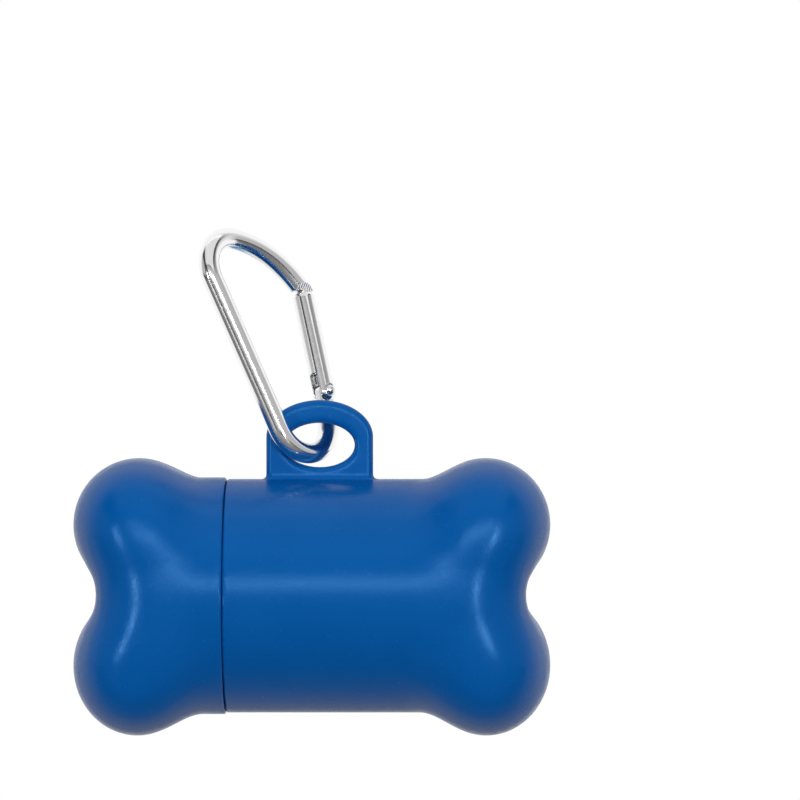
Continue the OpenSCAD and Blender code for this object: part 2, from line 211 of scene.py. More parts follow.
# %% Make an object from points and faces
def make_piece(name, points, faces, look):
    """An object whose faces all have the same number of corners, with one material."""
    mesh = bpy.data.meshes.new(name)
    points = np.ascontiguousarray(points, np.float32)
    mesh.vertices.add(len(points))
    mesh.vertices.foreach_set("co", points.ravel())
    count, corners = faces.shape
    mesh.loops.add(count * corners)
    mesh.loops.foreach_set("vertex_index", faces.ravel().astype(np.int32))
    mesh.polygons.add(count)
    mesh.polygons.foreach_set("loop_start", np.arange(count, dtype=np.int32) * corners)
    mesh.update(calc_edges=True)
    mesh.polygons.foreach_set("use_smooth", np.ones(count, bool))
    mesh.update()
    mesh.materials.append(look)
    piece = bpy.data.objects.new(name, mesh)
    bpy.context.scene.collection.objects.link(piece)
    print(f"{name}: {len(points)} points, {count} faces")
    return piece


# %% [markdown]
# ## Finishes
# Every finish is made of nodes that work in the piece's own millimetres, so its grain has the
# right size from any side. A small set of helpers keeps each recipe short.

# %% Helpers for finishes
class Look:
    """A material with one Principled shader, and short ways to add nodes in millimetres."""

    def __init__(self, name, colour, roughness, metallic=0.0):
        self.material = bpy.data.materials.new(name)
        self.material.use_nodes = True
        self.nodes = self.material.node_tree.nodes
        self.links = self.material.node_tree.links
        self.shader = next(n for n in self.nodes if n.type == "BSDF_PRINCIPLED")
        self.output = next(n for n in self.nodes if n.type == "OUTPUT_MATERIAL")
        self.shader.inputs["Base Color"].default_value = (*colour, 1)
        self.shader.inputs["Roughness"].default_value = roughness
        self.shader.inputs["Metallic"].default_value = metallic
        place = self.nodes.new("ShaderNodeTexCoord")
        scale = self.nodes.new("ShaderNodeVectorMath")
        scale.operation = "MULTIPLY_ADD"
        scale.inputs[1].default_value = (1000, 1000, 1000)  # metres to millimetres
        scale.inputs[2].default_value = tuple(HOOK)
        self.links.new(place.outputs["Object"], scale.inputs[0])
        self.mm = scale.outputs[0]
        self.bumps = None

    def noise(self, size, detail=3.0, rough=0.5, stretch=(1, 1, 1)):
        """Cloudy values from 0 to 1 whose patches are about size mm across."""
        where = self.nodes.new("ShaderNodeVectorMath")
        where.operation = "MULTIPLY"
        where.inputs[1].default_value = tuple(s / size for s in stretch)
        self.links.new(self.mm, where.inputs[0])
        node = self.nodes.new("ShaderNodeTexNoise")
        node.inputs["Scale"].default_value = 1.0
        node.inputs["Detail"].default_value = detail
        node.inputs["Roughness"].default_value = rough
        self.links.new(where.outputs[0], node.inputs["Vector"])
        return node.outputs["Fac"]

    def spread(self, value, low, high, from_low=0.3, from_high=0.7):
        """Stretch a value between two new limits."""
        node = self.nodes.new("ShaderNodeMapRange")
        node.inputs["From Min"].default_value = from_low
        node.inputs["From Max"].default_value = from_high
        node.inputs["To Min"].default_value = low
        node.inputs["To Max"].default_value = high
        self.links.new(value, node.inputs["Value"])
        return node.outputs["Result"]

    def maths(self, operation, a, b=None):
        """One step of arithmetic on values or plain numbers."""
        node = self.nodes.new("ShaderNodeMath")
        node.operation = operation
        for socket, v in zip(node.inputs, (a, b)):
            if v is None:
                continue
            if isinstance(v, (int, float)):
                socket.default_value = v
            else:
                self.links.new(v, socket)
        return node.outputs[0]

    def axis(self, which):
        """How far each point lies along X (0), Y (1) or Z (2), in mm."""
        node = self.nodes.new("ShaderNodeSeparateXYZ")
        self.links.new(self.mm, node.inputs[0])
        return node.outputs[which]

    def colours(self, value, first, second):
        """Mix two colours by a value."""
        node = self.nodes.new("ShaderNodeMix")
        node.data_type = "RGBA"
        node.inputs["A"].default_value = (*first, 1)
        node.inputs["B"].default_value = (*second, 1)
        self.links.new(value, node.inputs["Factor"])
        return node.outputs["Result"]

    def tint(self, value, first, second):
        """Mix two colours by a value and give the result to the shader."""
        self.links.new(self.colours(value, first, second), self.shader.inputs["Base Color"])

    def roughness(self, value):
        """Let a value steer the shader's roughness."""
        self.links.new(value, self.shader.inputs["Roughness"])

    def coat(self, share, under, over):
        """One shader over another, of which the upper one shows by the given share."""
        node = self.nodes.new("ShaderNodeMixShader")
        if isinstance(share, float):
            node.inputs[0].default_value = share
        else:
            self.links.new(share, node.inputs[0])
        self.links.new(under, node.inputs[1])
        self.links.new(over, node.inputs[2])
        return node.outputs[0]

    def bump(self, value, height_mm, strength=1.0):
        """Raise the surface by value times height_mm."""
        node = self.nodes.new("ShaderNodeBump")
        node.inputs["Strength"].default_value = strength
        node.inputs["Distance"].default_value = height_mm / 1000.0
        self.links.new(value, node.inputs["Height"])
        if self.bumps is not None:
            self.links.new(self.bumps, node.inputs["Normal"])
        self.bumps = node.outputs["Normal"]
        self.links.new(self.bumps, self.shader.inputs["Normal"])


# %% [markdown]
# ### Blue plastic
# The bone is a satin plastic with a fine matte grain from the mould, a little wavy, because a
# blown wall is not perfectly even. Its gloss is tinted blue and drops off where the wall turns
# away, so the rims stay a deep blue. A thin line where the two mould halves met runs round the
# bone in the plane of the ring.

# %% Mix the blue plastic
plastic = Look("blue_plastic", (0.0, 0.105, 0.40), 0.32)
plastic.shader.inputs["IOR"].default_value = 1.4
plastic.shader.inputs["Specular Tint"].default_value = (0.2, 0.55, 1.0, 1)
turned_away = plastic.nodes.new("ShaderNodeLayerWeight")
turned_away.inputs["Blend"].default_value = 0.5
gloss = plastic.spread(turned_away.outputs["Facing"], 0.5, 0.06, 0.3, 0.75)
plastic.links.new(gloss, plastic.shader.inputs["Specular IOR Level"])
plastic.tint(plastic.noise(9.0, 2.0), (0.0, 0.098, 0.385), (0.002, 0.112, 0.42))
plastic.roughness(plastic.spread(plastic.noise(1.3, 4.0), 0.2, 0.28))
plastic.bump(plastic.noise(14.0, 1.5), 0.10)
plastic.bump(plastic.noise(0.45, 2.0, 0.6), 0.022)
from_ring_plane = plastic.maths("ABSOLUTE", plastic.axis(1))
part_line = plastic.spread(from_ring_plane, 1.0, 0.0, 0.05, 0.22)
plastic.bump(part_line, 0.05)
print("finish:", plastic.material.name)

# %% [markdown]
# ### Aluminium
# The carabiner is bent from polished rod. It is bright, with a very shallow waviness and a
# roughness that changes in small patches, as handling leaves it. The same recipe, darker and
# rougher, serves the steel rivet and the spring.

# %% Polish the aluminium
def metal_look(name, colour, low, high, grain):
    """A bare metal whose roughness lies between low and high, in patches of grain mm."""
    look = Look(name, colour, low, 1.0)
    look.roughness(look.spread(look.noise(grain, 5.0), low, high))
    look.tint(look.noise(grain * 3, 3.0), colour, tuple(c * 0.93 for c in colour))
    look.bump(look.noise(grain * 1.5, 2.0), 0.003)
    return look


aluminium = metal_look("aluminium", (0.95, 0.95, 0.95), 0.10, 0.17, 0.8)
rivet_steel = metal_look("rivet_steel", (0.80, 0.80, 0.81), 0.18, 0.3, 0.4)
spring_steel = metal_look("spring_steel", (0.55, 0.555, 0.57), 0.25, 0.4, 0.3)
print("finishes:", [look.material.name for look in (aluminium, rivet_steel, spring_steel)])

# %% [markdown]
# ### Cardboard
# The core is a tube of grey-brown board. Its fibres show as short flecks along the tube, and
# its surface is rough.

# %% Colour the cardboard
board = Look("cardboard", (0.38, 0.28, 0.18), 0.85)
board.tint(board.noise(0.5, 6.0, 0.7, (0.35, 1, 1)), (0.30, 0.21, 0.13), (0.47, 0.36, 0.24))
board.bump(board.noise(0.3, 4.0, 0.6), 0.03)
print("finish:", board.material.name)

# %% [markdown]
# ### Film
# Bag film is thin polythene. Light goes through it and comes out bluer with every layer, so
# most of the film is a clear tint, and where folds lie over each other the blue deepens by
# itself. A small milky share, half of it lit from behind, gives the film a body, and a thin
# coat mirrors more where the film is seen edge on. Long creases along the pull hold doubled
# film, so they are tinted deeper, and near the hem the film breaks into small flat facets.

# %% Tint the film
FILM_BLUE = (0.08, 0.45, 0.88)
film = Look("film", FILM_BLUE, 0.3)
film.shader.inputs["Specular IOR Level"].default_value = 0.2
facets = film.nodes.new("ShaderNodeTexVoronoi")
facets.feature = "DISTANCE_TO_EDGE"
facets.inputs["Scale"].default_value = 1.0
bent = film.nodes.new("ShaderNodeVectorMath")
bent.operation = "MULTIPLY_ADD"
bent.inputs[1].default_value = (0.22, 0.22, 0.22)
film.links.new(film.mm, bent.inputs[0])
film.links.new(film.noise(5.0, 2.0), bent.inputs[2])
film.links.new(bent.outputs[0], facets.inputs["Vector"])
near_hem = film.spread(film.axis(1), 0.25, 1.0, 75, 105)
from_ridge = film.spread(facets.outputs["Distance"], 0.0, 1.0, 0.0, 0.35)
film.bump(film.maths("MULTIPLY", from_ridge, near_hem), 0.55)
film.bump(film.noise(2.4, 4.0, 0.6), 0.05)
along_pull = film.noise(11.0, 0.0, 0.4, (2.6, 0.33, 1))
off_crease = film.maths("ABSOLUTE", film.maths("SUBTRACT", along_pull, 0.5))
crease = film.spread(off_crease, 1.0, 0.0, 0.0, 0.014)
film.bump(crease, 0.12)
see = film.nodes.new("ShaderNodeBsdfTransparent")
single, doubled = (0.73, 0.875, 0.985), (0.60, 0.79, 0.975)
film.links.new(film.colours(crease, single, doubled), see.inputs["Color"])
glow = film.nodes.new("ShaderNodeBsdfTranslucent")
glow.inputs["Color"].default_value = (*FILM_BLUE, 1)
shine = film.nodes.new("ShaderNodeBsdfGlossy")
shine.inputs["Roughness"].default_value = 0.16
film.links.new(film.bumps, shine.inputs["Normal"])
edge_on = film.nodes.new("ShaderNodeFresnel")
edge_on.inputs["IOR"].default_value = 1.55
milky = film.coat(0.45, film.shader.outputs[0], glow.outputs[0])
milky_share = film.spread(film.noise(7.0, 3.0), 0.12, 0.21)
tinted = film.coat(milky_share, see.outputs[0], milky)
mirror_share = film.spread(edge_on.outputs[0], 0.035, 0.16, 0.05, 0.6)
surface = film.coat(mirror_share, tinted, shine.outputs[0])
film.links.new(surface, film.output.inputs["Surface"])
print("finish:", film.material.name)

# %% Tint the wound film
roll_film = Look("wound_film", (0.10, 0.34, 0.74), 0.35)
roll_film.tint(roll_film.noise(3.0, 4.0, 0.6, (0.3, 1, 1)), (0.07, 0.28, 0.68), (0.16, 0.42, 0.80))
roll_film.bump(roll_film.noise(0.9, 4.0, 0.6, (0.15, 1, 1)), 0.08)
roll_film.roughness(roll_film.spread(roll_film.noise(1.0, 3.0), 0.22, 0.42))
print("finish:", roll_film.material.name)

# %% [markdown]
# ## The bone
# Seen from the front the bone is a straight waist with two round lobes at each end. Each lobe
# is a fat ellipsoid that reaches nearly as deep as the waist, front and back. The fillet between
# lobe and waist widens with depth. The same distance serves both mouldings, with a waist that
# is a hair wider for the cap, so their outsides run on across the seam. All sizes are in
# millimetres.

# %% The bone's outside as a distance
BODY_R, CAP_R = 20.87, 21.15
WAIST_HALF, WAIST_ROUNDING = 36.9, 11.5
LOBE_X, LOBE_REACH, LOBE_DEPTH = 31.05, 11.5, 19.7
UPPER_LOBE = (12.8, 11.8)
LOWER_LOBE = (-12.25, 12.6)


def ellipse(x, z, rx, rz):
    """Distance to an ellipse with half widths rx and rz."""
    a = np.maximum(np.sqrt((x / rx) ** 2 + (z / rz) ** 2), 1e-3)
    return a * (a - 1) / np.sqrt((x / rx ** 2) ** 2 + (z / rz ** 2) ** 2 + 1e-9)


def lobe(x, y, z, radius, full=2.35):
    """An ellipse from the front, and from above a form a little fuller than an ellipse."""
    q = np.maximum(np.sqrt((x / LOBE_REACH) ** 2 + (z / radius) ** 2), 1e-3)
    v = np.abs(y) / LOBE_DEPTH
    a = (q ** full + v ** full) ** (1 / full)
    slope = np.sqrt((x / LOBE_REACH ** 2) ** 2 + (z / radius ** 2) ** 2)
    across = (q / a) ** (full - 1) * slope / q
    deep = (v / a) ** (full - 1) / LOBE_DEPTH
    return (a - 1) / np.hypot(across, deep)


def rounded_corner(a, b, rounding):
    """What lies inside both a and b, with the corner between them rounded by an arc."""
    a, b = a + rounding, b + rounding
    outside = np.hypot(np.maximum(a, 0), np.maximum(b, 0))
    return outside + np.minimum(np.maximum(a, b), 0) - rounding


def bone_form(x, y, z, waist):
    """The whole bone's outside, for a waist of the given radius."""
    along = np.abs(x) - LOBE_X
    up, down = (lobe(along, y, z - at, radius) for at, radius in (UPPER_LOBE, LOWER_LOBE))
    middle = rounded_corner(np.abs(x) - WAIST_HALF, np.hypot(y, z) - waist, WAIST_ROUNDING)
    valley = 2.2 + 0.35 * np.minimum(np.abs(y), 16)
    return join(join(up, down, valley), middle, valley)


# %% [markdown]
# ### The body with its ring
# The body carries the ring for the carabiner, a neck that plugs into the cap and a round
# opening in its back with a rolled rim. The ring grows out of the wall with a small fillet, and
# its own edges are rounded, as they come from the mould.

# %% The ring as a distance
RING_X, RING_HALF, RING_HALF_THICK, RING_ROUNDING = 1.34, 9.55, 2.2, 1.15
ARCH_Z, ARCH_RISE = 28.4, 6.6
RING_ROOT_Z = 17.0
EYE_Z, EYE_HALF, EYE_RISE = 26.95, 6.25, 3.95


def ring_form(x, y, z):
    """A flat ring with straight sides, an arched top and an oval eye."""
    top = ellipse(x - RING_X, np.maximum(z - ARCH_Z, 0), RING_HALF, ARCH_RISE)
    sides = np.abs(x - RING_X) - RING_HALF
    outline = np.maximum(np.where(z > ARCH_Z, top, sides), RING_ROOT_Z - z)
    eye = ellipse(x - RING_X, z - EYE_Z, EYE_HALF, EYE_RISE)
    return rounded_corner(cut(outline, eye, 0.4), np.abs(y) - RING_HALF_THICK, RING_ROUNDING)


# %% The body as a distance
SEAM = -15.3
WALL = 1.5
EDGE = 0.35
NECK_R, NECK_BORE_R, NECK_END, NECK_ROOT = 19.65, 18.35, -22.3, -12.0
BEAD_X, BEAD_HALF, BEAD_HIGH = -19.9, 0.9, 0.22
OPENING_X, OPENING_R, OPENING_EASE = 3.2, 12.5, 1.1


def body_form(x, y, z):
    """The body's moulding: bone and ring, with the neck, the hollow and the round opening."""
    r = np.hypot(y, z)
    skin = both(bone_form(x, y, z, BODY_R), SEAM - x, EDGE)
    skin = join(skin, ring_form(x, y, z), 0.9)
    bead = BEAD_HIGH * np.maximum(0, 1 - ((x - BEAD_X) / BEAD_HALF) ** 2)
    neck = np.maximum(r - NECK_R - bead, np.maximum(NECK_END - x, x - NECK_ROOT))
    solid = join(skin, neck, 0.25)
    hollow = np.maximum(bone_form(x, y, z, BODY_R) + WALL, SEAM + WALL - x)
    bore = np.maximum(r - NECK_BORE_R, x - NECK_ROOT)
    solid = cut(solid, join(hollow, bore, 0.3), 0.3)
    opening = np.maximum(np.hypot(x - OPENING_X, z) - OPENING_R, -y)
    return cut(solid, opening, OPENING_EASE)


points, faces = grow_skin(body_form, (-22.9, -22.4, -25.4), (43.2, 22.4, 35.8), 0.52)
housing_skin = make_piece("housing_skin", to_frame(points), faces, plastic.material)
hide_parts("housing")
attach(housing_skin, "bone")

# %% [markdown]
# ### The end cap
# The cap is the other pair of lobes. Its mouth is a hair wider than the waist, so the seam shows
# as a fine step with a dark line in it.

# %% Grow the cap
SEAM_GAP = 0.1
SOCKET_R, SOCKET_END = 19.9, -22.7
GROOVE_DEEP, GROOVE_SLOPE = 0.3, 0.8


def cap_form(x, y, z):
    """The cap's moulding: the bone's other end, with a socket and a groove for the neck."""
    r = np.hypot(y, z)
    skin = both(bone_form(x, y, z, CAP_R), x - SEAM + SEAM_GAP, EDGE)
    groove = GROOVE_DEEP * np.clip(1.6 - np.abs(x - BEAD_X) / GROOVE_SLOPE, 0, 1)
    socket = np.maximum(r - SOCKET_R - groove, SOCKET_END - x)
    hollow = bone_form(x, y, z, CAP_R) + WALL
    return cut(skin, np.minimum(hollow, socket), 0.3)


points, faces = grow_skin(cap_form, (-43.2, -22.4, -25.4), (-14.6, 22.4, 25.4), 0.44)
cap_skin = make_piece("cap_skin", to_frame(points), faces, plastic.material)
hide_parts("end_cap")
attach(cap_skin, "cap")

# %% [markdown]
# ## The carabiner
# The frame is one length of rod, bent in three arcs. At the nose both sides are milled off in a
# slant, which leaves a tongue for the slot in the gate; at the other end the rod is pressed
# flat, so the gate's foot can straddle it and turn on the rivet. It is grown in its own plane
# with a finer net, and turned into place afterwards.

# %% Stretches of rod as distances
ROD_R = 1.85
PIVOT = (14.6, -12.6)
GATE_TILT = math.radians(16.7)
GATE_LONG = 18.9


def straight(a, w, b, start, end):
    """A straight stretch of rod with round ends."""
    along = np.array(end) - np.array(start)
    da, db = a - start[0], b - start[1]
    t = np.clip((da * along[0] + db * along[1]) / (along @ along), 0, 1)
    return np.sqrt((da - t * along[0]) ** 2 + (db - t * along[1]) ** 2 + w ** 2) - ROD_R


def bend(a, w, b, at, r, first, last):
    """A bent stretch of rod from angle first to angle last, in degrees."""
    middle = math.radians((first + last) / 2)
    half = math.radians((last - first) / 2)
    da, db = a - at[0], b - at[1]
    turn = np.arctan2(db, da) - middle
    turn = (turn + np.pi) % (2 * np.pi) - np.pi
    held = np.clip(turn, -half, half) + middle
    gap = np.hypot(da - r * np.cos(held), db - r * np.sin(held))
    return np.hypot(gap, w) - ROD_R


def slab(value, low, high):
    """The space between two parallel planes."""
    return np.maximum(low - value, value - high)


def gate_axes(a, b):
    """Across and along the gate, counted from its rivet."""
    da, db = a - PIVOT[0], b - PIVOT[1]
    c, s = math.cos(GATE_TILT), math.sin(GATE_TILT)
    return da * c - db * s, da * s + db * c


def from_gate_axes(across, through, along):
    """The other way round: a place on the gate, from the bone's middle."""
    c, s = math.cos(GATE_TILT), math.sin(GATE_TILT)
    a = PIVOT[0] + across * c + along * s
    b = PIVOT[1] - across * s + along * c
    return link_to_bone(a, through, b)


def on_arc(at, r, degrees):
    """The point at an angle on an arc round a middle."""
    angle = math.radians(degrees)
    return at + r * np.array([math.cos(angle), math.sin(angle)])


# %% The frame as a distance
TOP_R, SIDE_R, FOOT_R = 6.2, 20.6, 6.4
SIDE_START, SIDE_END, FOOT_END = 65, 20, -28
TOP_AT = np.array([TOP_R, 13.6])
SIDE_AT = on_arc(TOP_AT, TOP_R - SIDE_R, SIDE_START)
NOSE = on_arc(SIDE_AT, SIDE_R, SIDE_END)
FOOT_AT = np.array([FOOT_R, -15.4])
FOOT = on_arc(FOOT_AT, FOOT_R, FOOT_END)
NOSE_GAP, TONGUE_HALF = 0.3, 0.75
TANG_HALF_WIDE, TANG_HALF_THICK = 1.6, 0.75
FRAME_HOLE_R = 0.65


def frame_form(a, w, b):
    """The bent rod with its milled nose, its tongue and its flat tang."""
    rod = straight(a, w, b, (0, FOOT_AT[1]), (0, TOP_AT[1]))
    rod = np.minimum(rod, bend(a, w, b, TOP_AT, TOP_R, SIDE_START, 180))
    rod = np.minimum(rod, bend(a, w, b, SIDE_AT, SIDE_R, SIDE_END, SIDE_START))
    rod = np.minimum(rod, bend(a, w, b, FOOT_AT, FOOT_R, -180, FOOT_END))
    side_end = math.radians(SIDE_END)
    down = np.array([math.sin(side_end), -math.cos(side_end)])
    rod = np.minimum(rod, straight(a, w, b, NOSE, NOSE + 4 * down))
    across, along = gate_axes(a, b)
    square_end = along - GATE_LONG - NOSE_GAP
    wedge = (square_end - np.abs(w) + TONGUE_HALF) / math.sqrt(2)
    near_nose = np.maximum(np.abs(across) - 4, 4 - along)
    rod = cut(rod, np.maximum(np.minimum(square_end, wedge), near_nose), 0.1)
    rod = cut(rod, np.maximum(np.maximum(square_end - 3, wedge), near_nose), 0.1)
    in_slot = np.maximum(np.abs(w) - TONGUE_HALF, slab(along, GATE_LONG - 1.9, GATE_LONG + 1.3))
    rod = join(rod, np.maximum(slab(across, -0.6, 1.7), in_slot), 0.15)
    run = np.array(PIVOT) - FOOT
    long = np.linalg.norm(run)
    run = run / long
    p = (a - FOOT[0]) * run[0] + (b - FOOT[1]) * run[1]
    q = np.abs((a - FOOT[0]) * run[1] - (b - FOOT[1]) * run[0])
    from_pivot = np.hypot(a - PIVOT[0], b - PIVOT[1])
    tang = np.maximum(q - TANG_HALF_WIDE, slab(p, -1.5, long))
    tang = np.minimum(tang, from_pivot - TANG_HALF_WIDE)
    tang = both(tang, np.abs(w) - TANG_HALF_THICK, 0.15)
    return np.maximum(join(rod, tang, 0.4), FRAME_HOLE_R - from_pivot)


def place_link(points):
    """Points of the carabiner's own plane, turned into place."""
    return to_frame(link_to_bone(*points.T))


points, faces = grow_skin(frame_form, (-2.3, -2.2, -24.2), (22.6, 2.2, 22.2), 0.17)
place = place_link(points)
frame_skin = make_piece("carabiner_frame_skin", place, faces, aluminium.material)
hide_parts("carabiner_frame")
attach(frame_skin, "link")

# %% [markdown]
# ### Mill marks on the nose
# The two slanted faces of the nose are left as the cutter left them, with straight grooves about
# half a millimetre apart. They are far too fine for the net, so a bump draws them, and only on
# the plane of each slanted face, near the nose.

# %% Draw the mill marks
GROOVE_PITCH = 0.55
gate_foot = from_gate_axes(0.0, 0.0, 0.0)
gate_across, gate_through, gate_along = (from_gate_axes(*step) - gate_foot for step in np.eye(3))


def measured_along(look, direction):
    """How far each point lies from the gate's foot, along one direction, in mm."""
    node = look.nodes.new("ShaderNodeVectorMath")
    node.operation = "DOT_PRODUCT"
    look.links.new(look.mm, node.inputs[0])
    node.inputs[1].default_value = tuple(direction)
    return look.maths("SUBTRACT", node.outputs["Value"], float(gate_foot @ direction))


from_middle = aluminium.maths("ABSOLUTE", measured_along(aluminium, gate_through))
up_slant = aluminium.maths("SUBTRACT", measured_along(aluminium, gate_along), from_middle)
slant_at = GATE_LONG + NOSE_GAP - TONGUE_HALF
off_slant = aluminium.maths("ABSOLUTE", aluminium.maths("SUBTRACT", up_slant, slant_at))
on_slant = aluminium.spread(off_slant, 1.0, 0.0, 0.06, 0.12)
from_gate = measured_along(aluminium, gate_across)
at_nose = aluminium.spread(aluminium.maths("ABSOLUTE", from_gate), 1.0, 0.0, 2.4, 2.8)
where = aluminium.maths("MULTIPLY", on_slant, at_nose)
wave = aluminium.maths("SINE", aluminium.maths("MULTIPLY", from_gate, 2 * math.pi / GROOVE_PITCH))
aluminium.bump(aluminium.maths("MULTIPLY", wave, where), 0.04)
print("mill marks every", GROOVE_PITCH, "mm on the nose")

# %% [markdown]
# ### The gate
# The gate is a turned tube, a hair thicker than the rod. A slot at its foot straddles the tang
# and a slot at its top takes the tongue. Its edges are only broken, not rounded, so they catch
# a thin bright line.

# %% Grow the gate
GATE_R, SLOT_HALF = 2.0, 0.9
SPRING_BORE_R, GATE_HOLE_R = 1.05, 0.62
HEAD_SEAT_R, HEAD_SEAT_AT = 1.1, 1.6


def gate_form(across, w, along):
    """The gate's tube, counted from its rivet."""
    r = np.hypot(across, w)
    tube = both(r - GATE_R, slab(along, 0, GATE_LONG), 0.1)
    tube = both(tube, (r + along - GATE_LONG - 1.4) / math.sqrt(2), 0.3)
    tube = np.minimum(tube, np.sqrt(across ** 2 + w ** 2 + along ** 2) - GATE_R)
    in_slot = np.abs(w) - SLOT_HALF
    foot_slot = np.maximum(in_slot, along - 2.2)
    foot_run = np.maximum(np.maximum(in_slot, across - 0.6), slab(along, 1.9, 3.4))
    top_slot = np.maximum(np.maximum(in_slot, -1 - across), GATE_LONG - 2.3 - along)
    tube = cut(tube, np.minimum(np.minimum(foot_slot, foot_run), top_slot), 0.15)
    spring_bore = np.maximum(r - SPRING_BORE_R, slab(along, 1, 12.5))
    from_pivot = np.hypot(across, along)
    head_seat = np.maximum(from_pivot - HEAD_SEAT_R, HEAD_SEAT_AT - np.abs(w))
    for bore in (spring_bore, head_seat, from_pivot - GATE_HOLE_R):
        tube = np.maximum(tube, -bore)
    return tube


points, faces = grow_skin(gate_form, (-2.3, -2.3, -2.3), (2.3, 2.3, 19.3), 0.1)
place = to_frame(from_gate_axes(*points.T))
gate_skin = make_piece("carabiner_gate_skin", place, faces, aluminium.material)
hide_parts("carabiner_gate")
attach(gate_skin, "gate")

# %% Metal on the small parts that keep their measured shape
def dress(node, look, smooth):
    """Give a measured piece a finish, and keep its shape."""
    mesh = bpy.data.objects[node].data
    mesh.materials.clear()
    mesh.materials.append(look.material)
    for face in mesh.polygons:
        face.use_smooth = smooth


dress("gate_rivet", rivet_steel, False)
dress("gate_spring", spring_steel, True)
dress("spring_plunger", spring_steel, False)
print("dressed the rivet, the spring and its plunger")

# %% [markdown]
# ## The roll of bags
# The roll is many turns of thin film. Only its outer turn and its two faces show, so it
# is one turned form whose faces carry fine steps, because no two turns end at quite the same
# place, and whose outer turn has soft wrinkles round it.

# %% Wind the roll
ROLL_X, ROLL_Z, ROLL_R, ROLL_LONG = 0.4, -2.6, 15.5, 58.0
CORE_R, CORNER_R = 6.6, 0.35
RINGS, STEP_DEEP = 60, 0.12
SECTORS = 360
# Wrinkles: waves round the roll, waves along it, height in mm, start.
WRINKLES = ((3, 0.5, 0.05, 0.3), (7, -1.1, 0.035, 1.9), (13, 1.7, 0.02, 4.0), (2, 2.6, 0.03, 2.2))
rng = np.random.default_rng(7)
ring_steps = np.cumsum(rng.normal(0, 1, RINGS))
ring_steps = (ring_steps - ring_steps.mean()) / np.abs(ring_steps).max() * STEP_DEEP


def roll_outline():
    """Radius and place along the roll, from the core out, over the top and back to the core."""
    radii = np.linspace(CORE_R, ROLL_R - CORNER_R, RINGS)
    half = ROLL_LONG / 2
    left = [(r, -half + 0.14 + s) for r, s in zip(radii, ring_steps)]
    at_r, at_x = ROLL_R - CORNER_R, -half + CORNER_R
    corner = [
        (at_r + CORNER_R * math.sin(t), at_x - CORNER_R * math.cos(t) + 0.02)
        for t in np.linspace(0.3, 1.5, 5)]
    top = [(ROLL_R, x) for x in np.linspace(-half + 0.5, half - 0.5, 90)]
    mirrored = [(r, -x) for r, x in (left + corner)[::-1]]
    return np.array(left + corner + top + mirrored)


radius, along = roll_outline().T
angle = np.linspace(0, 2 * np.pi, SECTORS, endpoint=False)[:, None]
wave = sum(high * np.sin(n * angle + k * along / 10 + start) for n, k, high, start in WRINKLES)
radius = radius + (radius > ROLL_R - 0.02) * (wave - 0.14)
x, y, z = ROLL_X + along, radius * np.cos(angle), ROLL_Z + radius * np.sin(angle)
points = np.stack(np.broadcast_arrays(x, y, z), axis=-1)
cols = points.shape[1]
i, k = np.meshgrid(np.arange(SECTORS), np.arange(cols), indexing="ij")
j, m = (i + 1) % SECTORS, (k + 1) % cols
quads = np.stack([i * cols + k, j * cols + k, j * cols + m, i * cols + m], axis=-1).reshape(-1, 4)
points = to_frame(points.reshape(-1, 3))
roll_skin = make_piece("bag_roll_skin", points, quads, roll_film.material)
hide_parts("bag_roll")
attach(roll_skin, "roll")
dress("roll_core", board, False)

# %% [markdown]
# ## The drawn bag
# A bag on the roll is a flat tube of film, folded lengthwise. Pulled through the round opening
# it gathers into pleats, and behind the opening it springs open into a fan with a ragged hem.
# Both layers are drawn: one closed loop of film across, open at the hem. Small pleats run from
# the neck to the hem. In a few places a layer is folded right back on itself, and there the
# clear film lies three deep and shows as a darker band. Finer creases cross them at every
# slant, with sharp ridges, because film creases rather than folds softly.

# %% The fan's edges and folds, as measured from the picture
# Each edge is a row of distances behind the opening and a row of places across, in mm.
LEFT = ([-14, -7, 20, 28, 37, 50, 58, 95], [-26, -8.6, -8.6, -13, -21, -28, -30, -47])
RIGHT = ([-14, -7, 9, 28, 42, 59, 74, 95], [27, 13.8, 13.8, 21.6, 28, 34, 38, 39])
INSIDE, FAR = 14.0, 95.0
MOUTH_Y = 20.9 + 0.2  # just behind the waist's wall
NECK_WIDE = 22.4
FRONT, BACK = 1.0, -1.0
# The hem of each layer: places across, from 0 to 1, and how far the hem reaches past FAR.
HEM = {
    FRONT: ([0, 0.2, 0.45, 0.6, 0.8, 1], [-3, -1.5, -4, -5, -3.5, -5]),
    BACK: (
        [0, 0.22, 0.30, 0.37, 0.47, 0.60, 0.66, 0.72, 0.8, 1],
        [-3, 1.0, 6.7, 0.6, 8, -2.5, 4.5, 3.0, -3, -5]),
}
# The folded-back bands of each layer: the place in the film from 0 to 1, where the band lies
# across in mm, and half its width at each distance behind the opening. A negative half width
# means that the fold has opened out.
PLEATS = {
    FRONT: (
        (0.25, -4.0, ([-14, 8, 26, 34], [1.4, 2.2, 1.6, -1.5])),
        (0.40, 4.8, ([-14, 5, 55, 74, 79, 83], [0.6, 1.2, 2.0, 2.2, 1.4, -2.2])),
        (0.62, 13.0, ([-14, 5, 40, 74, 80, 84], [0.3, 0.7, 2.2, 2.8, 2.0, -2.4])),
        (0.15, -27.0, ([-14, 62, 72, 100], [-1.5, -1.5, 2.4, 3.6]))),
    BACK: (
        (0.58, 8.0, ([-14, 6, 24, 32], [1.6, 2.4, 1.4, -1.5])),
        (0.30, -2.0, ([-14, 8, 30, 58, 66, 71], [0.8, 2.2, 5.2, 5.4, 3.6, -3.0])),
        (0.80, 19.0, ([-14, 20, 26, 45, 60], [-1, -1, 0.2, 1.5, -1.5]))),
}
BAND_SHARE = 0.05  # how much of the film, to either side, turns back in a band


